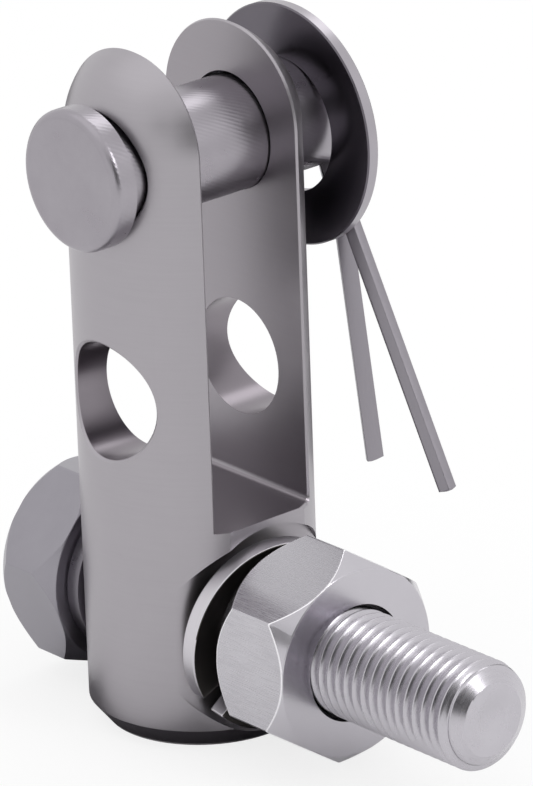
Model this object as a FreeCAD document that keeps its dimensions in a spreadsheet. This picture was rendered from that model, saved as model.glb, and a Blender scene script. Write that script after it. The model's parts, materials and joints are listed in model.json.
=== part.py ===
import FreeCAD, Part
import Sketcher
import math
import os

# Swivel clevis: a slotted round bar that turns on a hex bolt through its foot, with a headed
# pin across its two ears. Millimetres, +Z up along the bar, origin at the centre of the foot.
# +X runs along the bolt to its threaded end, and +Y along the pin to its washer.

SIZES = {
    # Round bar and its ears
    "bar_radius": 20.0,
    "foot_chamfer_width": 3.0,
    "foot_chamfer_height": 3.8,
    "pin_hole_height": 102.4,
    "top_above_hole": 21.7,
    "dome_flat": 1.7,
    "slot_width": 20.7,
    "slot_floor": 39.8,
    "slot_corner": 1.2,
    "low_hole_height": 61.7,
    "low_hole_radius": 10.3,
    "edge_break": 0.5,
    # Cross bore, milled flats and round seats for the bolt
    "bolt_height": 20.0,
    "bolt_bore_clearance": 0.08,
    "flat_depth": 1.8,
    "seat_depth": 4.0,
    "spring_seat_depth": 5.6,
    "spring_seat_radius": 18.4,
    "seat_side_round": 6.0,
    "seat_radius": 18.3,
    # Clevis pin
    "pin_radius": 10.0,
    "pin_hole_clearance": 0.35,
    "pin_rest_gap": 0.05,
    "pin_head_radius": 12.3,
    "pin_head_thickness": 4.4,
    "pin_head_round": 1.5,
    "pin_head_gap": 0.5,
    "pin_end_length": 4.0,
    "pin_end_chamfer": 1.4,
    "pin_turn": 19.3,
    # Washer on the pin
    "pin_washer_gap": 2.6,
    "pin_washer_radius": 21.2,
    "pin_washer_thickness": 2.3,
    "pin_washer_clearance": 1.8,
    "pin_washer_edge": 0.25,
    # Split pin
    "split_gap": 2.4,
    "split_radius": 1.8,
    "split_hole_clearance": 0.3,
    "split_seam": 0.1,
    "split_straight": 9.9,
    "split_bend": 7.0,
    "split_splay": 9.3,
    "split_short_leg": 51.0,
    "split_long_leg": 59.5,
    "split_eye": 1.8,
    "split_neck": 2.3,
    "split_neck_start": 9.8,
    # Hex bolt and the washer under its head
    "bolt_radius": 9.525,
    "bolt_reach": 73.8,
    "hex_across_flats": 33.2,
    "hex_chamfer_radius": 16.9,
    "hex_chamfer_run": 4.0,
    "head_height": 14.4,
    "head_turn": 49.5,
    "tip_chamfer_length": 2.2,
    "tip_radius": 6.3,
    "tip_dimple_radius": 3.2,
    "tip_dimple_depth": 0.3,
    "bolt_washer_radius": 14.3,
    "bolt_washer_bore": 10.2,
    "bolt_washer_thickness": 3.2,
    "bolt_washer_edge": 0.4,
    # Hex nut
    "nut_off_seat": 8.75,
    "nut_height": 16.85,
    "nut_turn": 26.0,
    "nut_bore_clearance": 0.06,
    "nut_mouth": 1.25,
    # Spring washer, a split ring wound as part of a helix
    "spring_radius": 16.8,
    "spring_bore": 10.75,
    "spring_thickness": 3.3,
    "spring_inner_growth": 0.1,
    "spring_rise": 2.2,
    "spring_arc": 347.0,
    "spring_lift": 2.2,
    "spring_hang": 0.1,
    "spring_side": 0.5,
    "spring_roll": 60.0,
    "spring_lean": 53.0,
    "spring_tilt": 7.0,
}

FORMULAS = {
    "bar_top": "pin_hole_height + top_above_hole",
    "dome_round": "bar_radius - dome_flat",
    "foot_radius": "bar_radius - foot_chamfer_width",
    "half_slot": "slot_width / 2",
    "flat_distance": "bar_radius - flat_depth",
    "seat_distance": "bar_radius - seat_depth",
    "spring_seat_distance": "bar_radius - spring_seat_depth",
    "nut_start": "spring_seat_distance + nut_off_seat",
    "slot_reach": "bar_radius * 2",
    "pin_axis": "pin_hole_height - pin_hole_clearance + pin_rest_gap",
    "pin_hole_radius": "pin_radius + pin_hole_clearance",
    "bolt_bore_radius": "bolt_radius + bolt_bore_clearance",
    "head_back": "-bar_radius - pin_head_gap",
    "head_front": "-bar_radius - pin_head_gap - pin_head_thickness",
    "pin_washer_start": "bar_radius + pin_washer_gap",
    "pin_washer_end": "bar_radius + pin_washer_gap + pin_washer_thickness",
    "pin_washer_bore": "pin_radius + pin_washer_clearance",
    "pin_washer_axis": "pin_axis - pin_washer_clearance + pin_rest_gap",
    "split_axis": "pin_washer_end + split_gap + split_radius",
    "pin_end": "split_axis + pin_end_length",
    "split_hole_radius": "split_radius + split_hole_clearance",
    "head_seat": "-seat_distance - bolt_washer_thickness",
    "head_top": "-seat_distance - bolt_washer_thickness - head_height",
    "washer_seat": "-seat_distance",
    "tip_start": "bolt_reach - tip_chamfer_length",
    "dimple_floor": "bolt_reach - tip_dimple_depth",
    "nut_end": "nut_start + nut_height",
    "nut_bore_radius": "bolt_radius + nut_bore_clearance",
    "nut_mouth_radius": "bolt_radius + nut_mouth",
    "nut_mouth_in": "nut_start + nut_mouth - nut_bore_clearance",
    "nut_mouth_out": "nut_end - nut_mouth + nut_bore_clearance",
    "corner_radius": "hex_across_flats / cos(30)",
}


def build_sheet(doc):
    """Fill the sheet with the plain sizes and then with the sizes that follow from them."""
    sheet = doc.addObject("Spreadsheet::Sheet", "Sizes")
    row = 0
    for alias, number in SIZES.items():
        row += 1
        sheet.set("A%d" % row, alias)
        sheet.set("B%d" % row, str(number))
        sheet.setAlias("B%d" % row, alias)
    for alias, formula in FORMULAS.items():
        row += 1
        sheet.set("A%d" % row, alias)
        sheet.set("B%d" % row, "=" + formula)
        sheet.setAlias("B%d" % row, alias)
    doc.recompute()
    return sheet


doc = FreeCAD.newDocument("swivel_clevis")
sheet = build_sheet(doc)


def value(name):
    """Number behind a sheet name, with a leading minus for its mirror and 0 for the origin."""
    if name == "0":
        return 0.0
    if name.startswith("-"):
        return -float(sheet.get(name[1:]))
    return float(sheet.get(name))


def expression(name):
    """Expression that follows a sheet name."""
    if name.startswith("-"):
        return "-Sizes." + name[1:]
    return "Sizes." + name


def new_body(label):
    """Empty body that carries the name of its piece."""
    body = doc.addObject("PartDesign::Body", label)
    body.Label = label
    return body


def datum(body, role):
    """Origin plane or axis of a body, found by its role."""
    return next(item for item in body.Origin.OriginFeatures if item.Role == role)


def new_sketch(body, role, label):
    """Sketch on one of the body's own origin planes."""
    sketch = body.newObject("Sketcher::SketchObject", label)
    sketch.AttachmentSupport = (datum(body, role), [""])
    sketch.MapMode = "FlatFace"
    return sketch


def hold(sketch, geometry, point, kind, name):
    """Tie one coordinate of a sketch point to a sheet name."""
    axis = -2 if kind == "DistanceX" else -1
    if name == "0":
        sketch.addConstraint(Sketcher.Constraint("PointOnObject", geometry, point, axis))
        return
    index = sketch.addConstraint(Sketcher.Constraint(kind, -1, 1, geometry, point, value(name)))
    sketch.setExpression("Constraints[%d]" % index, expression(name))


def add_loop(sketch, corners):
    """Closed run of straight lines through corners named in the sheet."""
    first = sketch.GeometryCount
    points = [FreeCAD.Vector(value(across), value(up), 0) for across, up in corners]
    count = len(points)
    for index in range(count):
        sketch.addGeometry(Part.LineSegment(points[index], points[(index + 1) % count]))
    for index in range(count):
        following = first + (index + 1) % count
        sketch.addConstraint(Sketcher.Constraint("Coincident", first + index, 2, following, 1))
    for index, (across, up) in enumerate(corners):
        hold(sketch, first + index, 1, "DistanceX", across)
        hold(sketch, first + index, 1, "DistanceY", up)


def add_circle(sketch, across, up, radius):
    """Circle with its centre and radius named in the sheet."""
    centre = FreeCAD.Vector(value(across), value(up), 0)
    normal = FreeCAD.Vector(0, 0, 1)
    index = sketch.addGeometry(Part.Circle(centre, normal, value(radius)))
    hold(sketch, index, 3, "DistanceX", across)
    hold(sketch, index, 3, "DistanceY", up)
    rule = sketch.addConstraint(Sketcher.Constraint("Radius", index, value(radius)))
    sketch.setExpression("Constraints[%d]" % rule, expression(radius))


def turned(body, kind, sketch, axis, label):
    """Full turn of a profile about a body axis, added or cut by kind."""
    feature = body.newObject("PartDesign::" + kind, label)
    feature.Profile = sketch
    feature.ReferenceAxis = (datum(body, axis), [""])
    feature.Angle = 360.0
    doc.recompute()
    return feature


def cut_through(body, sketch, label):
    """Pocket through the whole body, both ways from its sketch."""
    feature = body.newObject("PartDesign::Pocket", label)
    feature.Profile = sketch
    feature.Type = "ThroughAll"
    feature.Midplane = True
    doc.recompute()
    return feature


def add_hexagon(sketch, turn):
    """Hexagon about the origin with its across-flats size held and its first corner turned."""
    radius = value("hex_across_flats") / math.sqrt(3.0)
    corners = []
    for index in range(6):
        angle = math.radians(value(turn) + 60.0 * index)
        corners.append(FreeCAD.Vector(radius * math.cos(angle), radius * math.sin(angle), 0))
    for index in range(6):
        sketch.addGeometry(Part.LineSegment(corners[index], corners[(index + 1) % 6]))
    for index in range(6):
        following = (index + 1) % 6
        sketch.addConstraint(Sketcher.Constraint("Coincident", index, 2, following, 1))
    sketch.addGeometry(Part.Circle(FreeCAD.Vector(0, 0, 0), FreeCAD.Vector(0, 0, 1), radius), True)
    sketch.addConstraint(Sketcher.Constraint("Coincident", 6, 3, -1, 1))
    for index in range(6):
        sketch.addConstraint(Sketcher.Constraint("PointOnObject", index, 1, 6))
    for index in range(5):
        sketch.addConstraint(Sketcher.Constraint("Equal", index, index + 1))
    rule = sketch.addConstraint(Sketcher.Constraint("Diameter", 6, 2.0 * radius))
    sketch.setExpression("Constraints[%d]" % rule, "2 * Sizes.hex_across_flats / sqrt(3)")
    sketch.addGeometry(Part.LineSegment(FreeCAD.Vector(0, 0, 0), corners[0]), True)
    sketch.addConstraint(Sketcher.Constraint("Coincident", 7, 1, -1, 1))
    sketch.addConstraint(Sketcher.Constraint("Coincident", 7, 2, 0, 1))
    rule = sketch.addConstraint(
        Sketcher.Constraint("Angle", -1, 1, 7, 1, math.radians(value(turn)))
    )
    sketch.setExpression("Constraints[%d]" % rule, "Sizes.%s * 1 deg" % turn)


def hexagon_block(body, turn, start, height, label):
    """Hexagonal block along X from a named start."""
    sketch = new_sketch(body, "YZ_Plane", label + "_hexagon")
    add_hexagon(sketch, turn)
    sketch.setExpression("AttachmentOffset.Base.z", "Sizes." + start)
    block = body.newObject("PartDesign::Pad", label)
    block.Profile = sketch
    block.setExpression("Length", "Sizes." + height)
    doc.recompute()
    return block


def chamfer_corners(body, low, high, label):
    """Turn the corners of a hexagonal block down to a cone at each of its two faces."""
    sheet_rows = {
        label + "_low_ridge": "%s + hex_chamfer_run" % low,
        label + "_high_ridge": "%s - hex_chamfer_run" % high,
        label + "_low_out": "%s - 1" % low,
        label + "_high_out": "%s + 1" % high,
    }
    add_formulas(sheet_rows)
    sketch = new_sketch(body, "XZ_Plane", label + "_profile")
    low_ridge = label + "_low_ridge"
    high_ridge = label + "_high_ridge"
    add_loop(sketch, [
        (low, "hex_chamfer_radius"),
        (low_ridge, "cone_radius"),
        (label + "_low_out", "cone_radius"),
        (label + "_low_out", "hex_chamfer_radius"),
    ])
    add_loop(sketch, [
        (high, "hex_chamfer_radius"),
        (label + "_high_out", "hex_chamfer_radius"),
        (label + "_high_out", "cone_radius"),
        (high_ridge, "cone_radius"),
    ])
    return turned(body, "Groove", sketch, "X_Axis", label)


def add_formulas(rows):
    """Append more derived sizes to the sheet."""
    row = 1
    while sheet.getContents("A%d" % row):
        row += 1
    for alias, formula in rows.items():
        sheet.set("A%d" % row, alias)
        sheet.set("B%d" % row, "=" + formula)
        sheet.setAlias("B%d" % row, alias)
        row += 1
    doc.recompute()


def round_edges(body, base, kind, size_name, test, label):
    """Fillet or chamfer the edges of a feature that pass a test."""
    names = []
    for index, edge in enumerate(base.Shape.Edges, start=1):
        if test(edge):
            names.append("Edge%d" % index)
    feature = body.newObject("PartDesign::" + kind, label)
    feature.Base = (base, names)
    feature.setExpression("Radius" if kind == "Fillet" else "Size", "Sizes." + size_name)
    doc.recompute()
    return feature


def is_circle_at(edge, axis, place, radius):
    """Whether an edge is a full circle about an axis at a place along it."""
    if not isinstance(edge.Curve, Part.Circle):
        return False
    middle = getattr(edge.Curve.Center, axis)
    return abs(middle - place) < 0.01 and abs(edge.Curve.Radius - radius) < 0.01


add_formulas({
    "cone_radius": "hex_across_flats / sqrt(3) + 0.3",
    "chamfer_spare": "cone_radius - hex_chamfer_radius",
})


def build_clevis_body():
    """Slotted bar: turned blank, domed end, slot, cross holes, flats and washer seats."""
    body = new_body("clevis_body")
    blank = new_sketch(body, "XZ_Plane", "bar_profile")
    add_loop(blank, [
        ("0", "0"),
        ("foot_radius", "0"),
        ("bar_radius", "foot_chamfer_height"),
        ("bar_radius", "bar_top"),
        ("0", "bar_top"),
    ])
    bar = turned(body, "Revolution", blank, "Z_Axis", "bar")

    def is_top_rim(edge):
        """Rim of the bar's top end."""
        return is_circle_at(edge, "z", value("bar_top"), value("bar_radius"))

    round_edges(body, bar, "Fillet", "dome_round", is_top_rim, "dome")

    slot = new_sketch(body, "YZ_Plane", "slot_outline")
    add_formulas({"slot_top": "bar_top + 5"})
    add_loop(slot, [
        ("-half_slot", "slot_floor"),
        ("half_slot", "slot_floor"),
        ("half_slot", "slot_top"),
        ("-half_slot", "slot_top"),
    ])
    slot_cut = cut_through(body, slot, "slot")

    floor = value("slot_floor")
    half = value("half_slot")

    def is_slot_corner(edge):
        """Straight edge where the slot's floor meets the wall on the washer's side."""
        middle = edge.BoundBox.Center
        straight = edge.BoundBox.ZLength < 0.01 and edge.BoundBox.YLength < 0.01
        return straight and abs(middle.z - floor) < 0.01 and abs(middle.y - half) < 0.01

    round_edges(body, slot_cut, "Fillet", "slot_corner", is_slot_corner, "slot_corners")

    holes = new_sketch(body, "XZ_Plane", "cross_holes")
    add_circle(holes, "0", "pin_hole_height", "pin_hole_radius")
    add_circle(holes, "0", "low_hole_height", "low_hole_radius")
    cut_through(body, holes, "ear_holes")

    bore = new_sketch(body, "YZ_Plane", "bolt_bore_outline")
    add_circle(bore, "0", "bolt_height", "bolt_bore_radius")
    cut_through(body, bore, "bolt_bore")

    add_formulas({"side_reach": "bar_radius + 5"})
    flats = new_sketch(body, "XY_Plane", "flat_outline")
    for side in ("", "-"):
        add_loop(flats, [
            (side + "flat_distance", "-side_reach"),
            (side + "side_reach", "-side_reach"),
            (side + "side_reach", "side_reach"),
            (side + "flat_distance", "side_reach"),
        ])
    cut_through(body, flats, "flats")

    seats = (
        ("head_side", "-seat_distance", "seat_radius"),
        ("threaded_side", "spring_seat_distance", "spring_seat_radius"),
    )
    for name, distance, radius in seats:
        seat = new_sketch(body, "YZ_Plane", name + "_seat_outline")
        add_circle(seat, "0", "bolt_height", radius)
        seat.setExpression("AttachmentOffset.Base.z", expression(distance))
        pocket = body.newObject("PartDesign::Pocket", name + "_seat")
        pocket.Profile = seat
        pocket.Type = "Length"
        pocket.setExpression("Length", "Sizes.bar_radius")
        pocket.Reversed = name == "threaded_side"
        doc.recompute()
    round_seat_sides(body)
    break_edges(body)
    return body


def round_seat_sides(body):
    """Round the upright edges where the spring washer's seat meets the round bar."""
    floor = value("spring_seat_distance")

    def is_seat_side(edge):
        """Upright edge beside the seat's floor."""
        box = edge.BoundBox
        upright = box.XLength < 0.02 and box.YLength < 0.02 and box.ZLength > 1.0
        return upright and abs(box.XMin - floor) < 0.02

    round_edges(body, body.Tip, "Fillet", "seat_side_round", is_seat_side, "seat_sides")


def break_edges(body):
    """Break the sharp edges round the ears' inner faces and round the holes outside."""
    half = value("half_slot")
    corner_top = value("slot_floor") + value("slot_corner")
    hole = max(value("pin_hole_radius"), value("low_hole_radius"))
    outside = math.sqrt(value("bar_radius") ** 2 - hole ** 2)

    def is_ear_outline(edge):
        """Edge round an ear's inner face, above the slot's floor and clear of the holes."""
        box = edge.BoundBox
        in_face = box.YLength < 0.01 and abs(abs(box.YMin) - half) < 0.01
        return in_face and box.ZMax > corner_top + 0.1 and not edge.isClosed()

    def is_outer_rim(edge):
        """Edge where a hole through an ear breaks out of the bar's round side."""
        box = edge.BoundBox
        reach = max(abs(box.YMin), abs(box.YMax))
        above = box.ZMin > corner_top
        return above and abs(edge.CenterOfMass.x) < hole and reach > outside + 0.1 \
            and box.YLength > 0.5

    ears = round_edges(body, body.Tip, "Chamfer", "edge_break", is_ear_outline, "ear_edges")
    round_edges(body, ears, "Chamfer", "edge_break", is_outer_rim, "hole_rims")


def build_clevis_pin():
    """Headed pin along Y with a cross hole near its plain end."""
    body = new_body("clevis_pin")
    profile = new_sketch(body, "YZ_Plane", "pin_profile")
    add_loop(profile, [
        ("head_front", "0"),
        ("head_front", "pin_head_radius"),
        ("head_back", "pin_head_radius"),
        ("head_back", "pin_radius"),
        ("pin_end", "pin_radius"),
        ("pin_end", "0"),
    ])
    pin = turned(body, "Revolution", profile, "Y_Axis", "pin")

    def is_front_rim(edge):
        """Rim of the head's outer face."""
        return is_circle_at(edge, "y", value("head_front"), value("pin_head_radius"))

    def is_end_rim(edge):
        """Rim of the plain end."""
        return is_circle_at(edge, "y", value("pin_end"), value("pin_radius"))

    rounded = round_edges(body, pin, "Fillet", "pin_head_round", is_front_rim, "head_rim")
    round_edges(body, rounded, "Chamfer", "pin_end_chamfer", is_end_rim, "end_rim")
    hole = new_sketch(body, "XY_Plane", "split_pin_hole_outline")
    add_circle(hole, "0", "split_axis", "split_hole_radius")
    cut_through(body, hole, "split_pin_hole")
    place_on_pin_axis(body)
    return body


def place_on_pin_axis(body):
    """Lift a body to the pin's axis and turn it with the pin."""
    turn = FreeCAD.Rotation(FreeCAD.Vector(0, -1, 0), value("pin_turn"))
    body.Placement = FreeCAD.Placement(FreeCAD.Vector(0, 0, 0), turn)
    body.setExpression("Placement.Base.z", "Sizes.pin_axis")
    body.setExpression("Placement.Rotation.Angle", "Sizes.pin_turn * 1 deg")
    doc.recompute()


def ring(label, plane, axis, corners):
    """Body with one turned ring."""
    body = new_body(label)
    profile = new_sketch(body, plane, label + "_profile")
    add_loop(profile, corners)
    turned(body, "Revolution", profile, axis, label + "_ring")
    return body


def build_pin_washer():
    """Flat washer that hangs on the pin behind the far ear."""
    add_formulas({
        "pin_washer_rim": "pin_washer_radius - pin_washer_edge",
        "pin_washer_near_edge": "pin_washer_start + pin_washer_edge",
        "pin_washer_far_edge": "pin_washer_end - pin_washer_edge",
    })
    body = ring("pin_washer", "YZ_Plane", "Y_Axis", [
        ("pin_washer_start", "pin_washer_bore"),
        ("pin_washer_start", "pin_washer_rim"),
        ("pin_washer_near_edge", "pin_washer_radius"),
        ("pin_washer_far_edge", "pin_washer_radius"),
        ("pin_washer_end", "pin_washer_rim"),
        ("pin_washer_end", "pin_washer_bore"),
    ])
    body.setExpression("Placement.Base.z", "Sizes.pin_washer_axis")
    doc.recompute()
    return body


def split_pin_path(sketch):
    """Path of the wire's flat side: leg, bend, shank, neck, eye and back down the other leg."""
    seam = value("split_seam")
    straight = value("split_straight")
    bend = value("split_bend")
    splay = math.radians(value("split_splay"))
    eye = value("split_eye")
    neck = value("split_neck")
    neck_start = value("split_neck_start")
    upward = FreeCAD.Vector(0, 0, 1)

    def side_points(sign, leg):
        """Points down one side, from the neck to the leg's tip."""
        shank_top = FreeCAD.Vector(sign * seam, neck_start, 0)
        shank_foot = FreeCAD.Vector(sign * seam, -straight, 0)
        bend_end = FreeCAD.Vector(
            sign * (seam + bend * (1.0 - math.cos(splay))),
            -straight - bend * math.sin(splay),
            0,
        )
        along = FreeCAD.Vector(sign * math.sin(splay), -math.cos(splay), 0)
        return shank_top, shank_foot, bend_end, bend_end + along * leg

    def bend_arc(start, end, centre, radius):
        """Short arc between two points about a centre."""
        middle = (start + end) * 0.5 - centre
        middle.normalize()
        return Part.Arc(start, centre + middle * radius, end)

    left_top, left_foot, left_bend, left_tip = side_points(-1.0, value("split_short_leg"))
    right_top, right_foot, right_bend, right_tip = side_points(1.0, value("split_long_leg"))
    rise = math.sqrt((neck + eye) ** 2 - (seam + neck) ** 2)
    eye_centre = FreeCAD.Vector(0, neck_start + rise, 0)
    left_neck = FreeCAD.Vector(-seam - neck, neck_start, 0)
    right_neck = FreeCAD.Vector(seam + neck, neck_start, 0)
    left_join = eye_centre + (left_neck - eye_centre) * (eye / (neck + eye))
    right_join = eye_centre + (right_neck - eye_centre) * (eye / (neck + eye))
    eye_top = eye_centre + FreeCAD.Vector(0, eye, 0)
    left_middle = FreeCAD.Vector(-seam - bend, -straight, 0)
    right_middle = FreeCAD.Vector(seam + bend, -straight, 0)
    for piece in (
        Part.LineSegment(left_tip, left_bend),
        bend_arc(left_bend, left_foot, left_middle, bend),
        Part.LineSegment(left_foot, left_top),
        bend_arc(left_top, left_join, left_neck, neck),
        Part.Arc(left_join, eye_top, right_join),
        bend_arc(right_join, right_top, right_neck, neck),
        Part.LineSegment(right_top, right_foot),
        bend_arc(right_foot, right_bend, right_middle, bend),
        Part.LineSegment(right_bend, right_tip),
    ):
        sketch.addGeometry(piece)
    return upward


def build_split_pin():
    """Split pin: one half-round wire bent double round an eye, with splayed legs."""
    body = new_body("split_pin")
    path = new_sketch(body, "XZ_Plane", "wire_path")
    path.setExpression("AttachmentOffset.Base.z", "-Sizes.split_axis")
    split_pin_path(path)
    doc.recompute()

    section = new_sketch(body, "XY_Plane", "wire_section")
    section.setExpression("AttachmentOffset.Base.z", "-Sizes.split_straight * 0.5")
    radius = value("split_radius")
    seam = value("split_seam")
    across = value("split_axis")
    low = FreeCAD.Vector(-seam, across - radius, 0)
    high = FreeCAD.Vector(-seam, across + radius, 0)
    side = FreeCAD.Vector(-seam - radius, across, 0)
    section.addGeometry(Part.Arc(low, side, high))
    section.addGeometry(Part.LineSegment(high, low))
    section.addConstraint(Sketcher.Constraint("Coincident", 0, 1, 1, 2))
    section.addConstraint(Sketcher.Constraint("Coincident", 0, 2, 1, 1))
    doc.recompute()

    wire = body.newObject("PartDesign::AdditivePipe", "wire")
    wire.Profile = section
    wire.Spine = path
    wire.Mode = "Standard"
    doc.recompute()
    place_on_pin_axis(body)
    return body


def build_hex_bolt():
    """Hex bolt along X with a plain cylinder at the thread's outer size and a turned tip."""
    body = new_body("hex_bolt")
    hexagon_block(body, "head_turn", "head_top", "head_height", "head")
    chamfer_corners(body, "head_top", "head_seat", "head_chamfers")
    add_formulas({"shank_root": "head_seat - head_height / 2"})
    shank = new_sketch(body, "XZ_Plane", "shank_profile")
    add_loop(shank, [
        ("shank_root", "0"),
        ("shank_root", "bolt_radius"),
        ("tip_start", "bolt_radius"),
        ("bolt_reach", "tip_radius"),
        ("bolt_reach", "tip_dimple_radius"),
        ("dimple_floor", "0"),
    ])
    turned(body, "Revolution", shank, "X_Axis", "shank")
    body.setExpression("Placement.Base.z", "Sizes.bolt_height")
    doc.recompute()
    return body


def build_bolt_washer():
    """Washer between the bolt's head and the bar."""
    add_formulas({
        "bolt_washer_rim": "bolt_washer_radius - bolt_washer_edge",
        "bolt_washer_shoulder": "head_seat + bolt_washer_edge",
    })
    body = ring("bolt_washer", "XZ_Plane", "X_Axis", [
        ("head_seat", "bolt_washer_bore"),
        ("head_seat", "bolt_washer_rim"),
        ("bolt_washer_shoulder", "bolt_washer_radius"),
        ("washer_seat", "bolt_washer_radius"),
        ("washer_seat", "bolt_washer_bore"),
    ])
    body.setExpression("Placement.Base.z", "Sizes.bolt_height")
    doc.recompute()
    return body


def build_hex_nut():
    """Hex nut with turned corners and a countersunk bore at both faces."""
    body = new_body("hex_nut")
    hexagon_block(body, "nut_turn", "nut_start", "nut_height", "nut_blank")
    chamfer_corners(body, "nut_start", "nut_end", "nut_chamfers")
    bore = new_sketch(body, "XZ_Plane", "nut_bore_profile")
    add_loop(bore, [
        ("nut_start", "0"),
        ("nut_start", "nut_mouth_radius"),
        ("nut_mouth_in", "nut_bore_radius"),
        ("nut_mouth_out", "nut_bore_radius"),
        ("nut_end", "nut_mouth_radius"),
        ("nut_end", "0"),
    ])
    turned(body, "Groove", bore, "X_Axis", "nut_bore")
    body.setExpression("Placement.Base.z", "Sizes.bolt_height")
    doc.recompute()
    return body


def build_lock_washer():
    """Split spring washer: a trapezoid section swept along most of one helix turn."""
    body = new_body("lock_washer")
    add_formulas({
        "spring_inner_back": "-spring_inner_growth",
        "spring_inner_front": "spring_thickness + spring_inner_growth",
        "spring_pitch": "spring_rise * 360 / spring_arc",
    })
    section = new_sketch(body, "XZ_Plane", "spring_section")
    add_loop(section, [
        ("spring_inner_back", "-spring_bore"),
        ("0", "-spring_radius"),
        ("spring_thickness", "-spring_radius"),
        ("spring_inner_front", "-spring_bore"),
    ])
    coil = body.newObject("PartDesign::AdditiveHelix", "spring_coil")
    coil.Profile = section
    coil.ReferenceAxis = (datum(body, "X_Axis"), [""])
    coil.Mode = "pitch-height-angle"
    coil.setExpression("Pitch", "Sizes.spring_pitch")
    coil.setExpression("Height", "Sizes.spring_rise")
    coil.LeftHanded = True
    coil.Reversed = False
    doc.recompute()
    # The split lies low on the near side. The ring leans on its edge there, and rests against
    # the nut at its far upper side.
    lean = math.radians(value("spring_lean"))
    lean_axis = FreeCAD.Vector(0, math.cos(lean), -math.sin(lean))
    roll = FreeCAD.Rotation(FreeCAD.Vector(1, 0, 0), -value("spring_roll"))
    tilt = FreeCAD.Rotation(lean_axis, value("spring_tilt"))
    start = value("spring_seat_distance") + value("spring_lift")
    side = -value("spring_side")
    height = value("bolt_height") - value("spring_hang")
    body.Placement = FreeCAD.Placement(FreeCAD.Vector(start, side, height), tilt.multiply(roll))
    doc.recompute()
    return body


def check_and_export(bodies):
    """Stop on any broken object, then write one file for each piece."""
    doc.recompute()
    for item in doc.Objects:
        if "Invalid" in item.State or "Error" in item.State:
            raise RuntimeError("broken object: " + item.Label)
    os.makedirs("parts", exist_ok=True)
    for body in bodies:
        shape = body.Shape
        if shape.isNull() or not shape.isValid():
            raise RuntimeError("bad shape: " + body.Label)
        if len(shape.Solids) != 1:
            raise RuntimeError("not one solid: " + body.Label)
        shape.exportStep(os.path.join("parts", body.Label + ".step"))
        box = shape.BoundBox
        print(
            body.Label, round(shape.Volume, 1),
            [round(number, 2) for number in (box.XMin, box.XMax, box.YMin, box.YMax)],
            [round(number, 2) for number in (box.ZMin, box.ZMax)],
        )


check_and_export([
    build_clevis_body(),
    build_clevis_pin(),
    build_pin_washer(),
    build_split_pin(),
    build_hex_bolt(),
    build_bolt_washer(),
    build_hex_nut(),
    build_lock_washer(),
])
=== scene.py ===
"""Render model of a stainless steel swivel clevis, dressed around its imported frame."""

import json
import logging
import math
from dataclasses import dataclass
from enum import Enum
from typing import Callable

import bmesh
import bpy
from mathutils import Euler, Matrix, Vector


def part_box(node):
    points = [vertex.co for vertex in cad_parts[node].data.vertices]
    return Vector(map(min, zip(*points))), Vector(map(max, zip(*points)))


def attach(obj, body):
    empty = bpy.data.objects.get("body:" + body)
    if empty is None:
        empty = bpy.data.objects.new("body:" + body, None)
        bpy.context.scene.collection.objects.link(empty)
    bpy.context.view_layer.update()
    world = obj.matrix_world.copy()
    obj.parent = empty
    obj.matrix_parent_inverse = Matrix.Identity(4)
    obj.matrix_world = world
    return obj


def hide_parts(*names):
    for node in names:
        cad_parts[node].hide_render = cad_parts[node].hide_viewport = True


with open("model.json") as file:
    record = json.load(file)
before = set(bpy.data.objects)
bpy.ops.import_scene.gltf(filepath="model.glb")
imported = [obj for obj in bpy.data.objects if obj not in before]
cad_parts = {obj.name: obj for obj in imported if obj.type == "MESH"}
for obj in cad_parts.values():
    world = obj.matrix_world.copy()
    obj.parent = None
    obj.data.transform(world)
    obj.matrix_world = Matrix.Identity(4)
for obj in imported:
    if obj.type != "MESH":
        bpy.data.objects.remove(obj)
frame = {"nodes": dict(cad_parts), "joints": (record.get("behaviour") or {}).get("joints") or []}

LOG = logging.getLogger("swivel_clevis")
MM = 0.001
INCH = 0.0254
SIXTH_TURN = math.radians(60.0)
TWELFTH_TURN = math.radians(30.0)
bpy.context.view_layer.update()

Colour = tuple[float, float, float, float]
Place = tuple[float, float, float]
Row = list[Vector]
Step = tuple[str, str, tuple[str | float, ...]]
# Lamps and standing flags face this point, in metres.
OBJECT_MIDDLE = Vector((0.01, 0.0, 0.06))
# Most values of a noise texture lie between these two.
NOISE_LOW = 0.3
NOISE_HIGH = 0.7


def srgb(code: str) -> Colour:
    """Turn an sRGB hex colour into linear values.

    Args:
        code: Colour as "#RRGGBB".

    Returns:
        Linear red, green and blue with an alpha of 1.
    """
    channels = [int(code[start:start + 2], 16) / 255.0 for start in (1, 3, 5)]
    linear = [
        value / 12.92 if value <= 0.04045 else ((value + 0.055) / 1.055) ** 2.4
        for value in channels
    ]
    return (linear[0], linear[1], linear[2], 1.0)


def add_node(
    tree: bpy.types.NodeTree,
    kind: str,
    settings: dict[str, object] | None = None,
    inputs: dict[str, object] | None = None,
) -> bpy.types.Node:
    """Add one node with its settings and its links.

    Args:
        tree: Node tree that takes the node.
        kind: Blender's name for the node's type.
        settings: Properties of the node itself.
        inputs: Values for its sockets, or the output sockets that feed them.

    Returns:
        The new node.
    """
    node = tree.nodes.new(kind)
    for name, value in (settings or {}).items():
        setattr(node, name, value)
    for name, value in (inputs or {}).items():
        if isinstance(value, bpy.types.NodeSocket):
            tree.links.new(value, node.inputs[name])
        else:
            node.inputs[name].default_value = value
    return node


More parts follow.
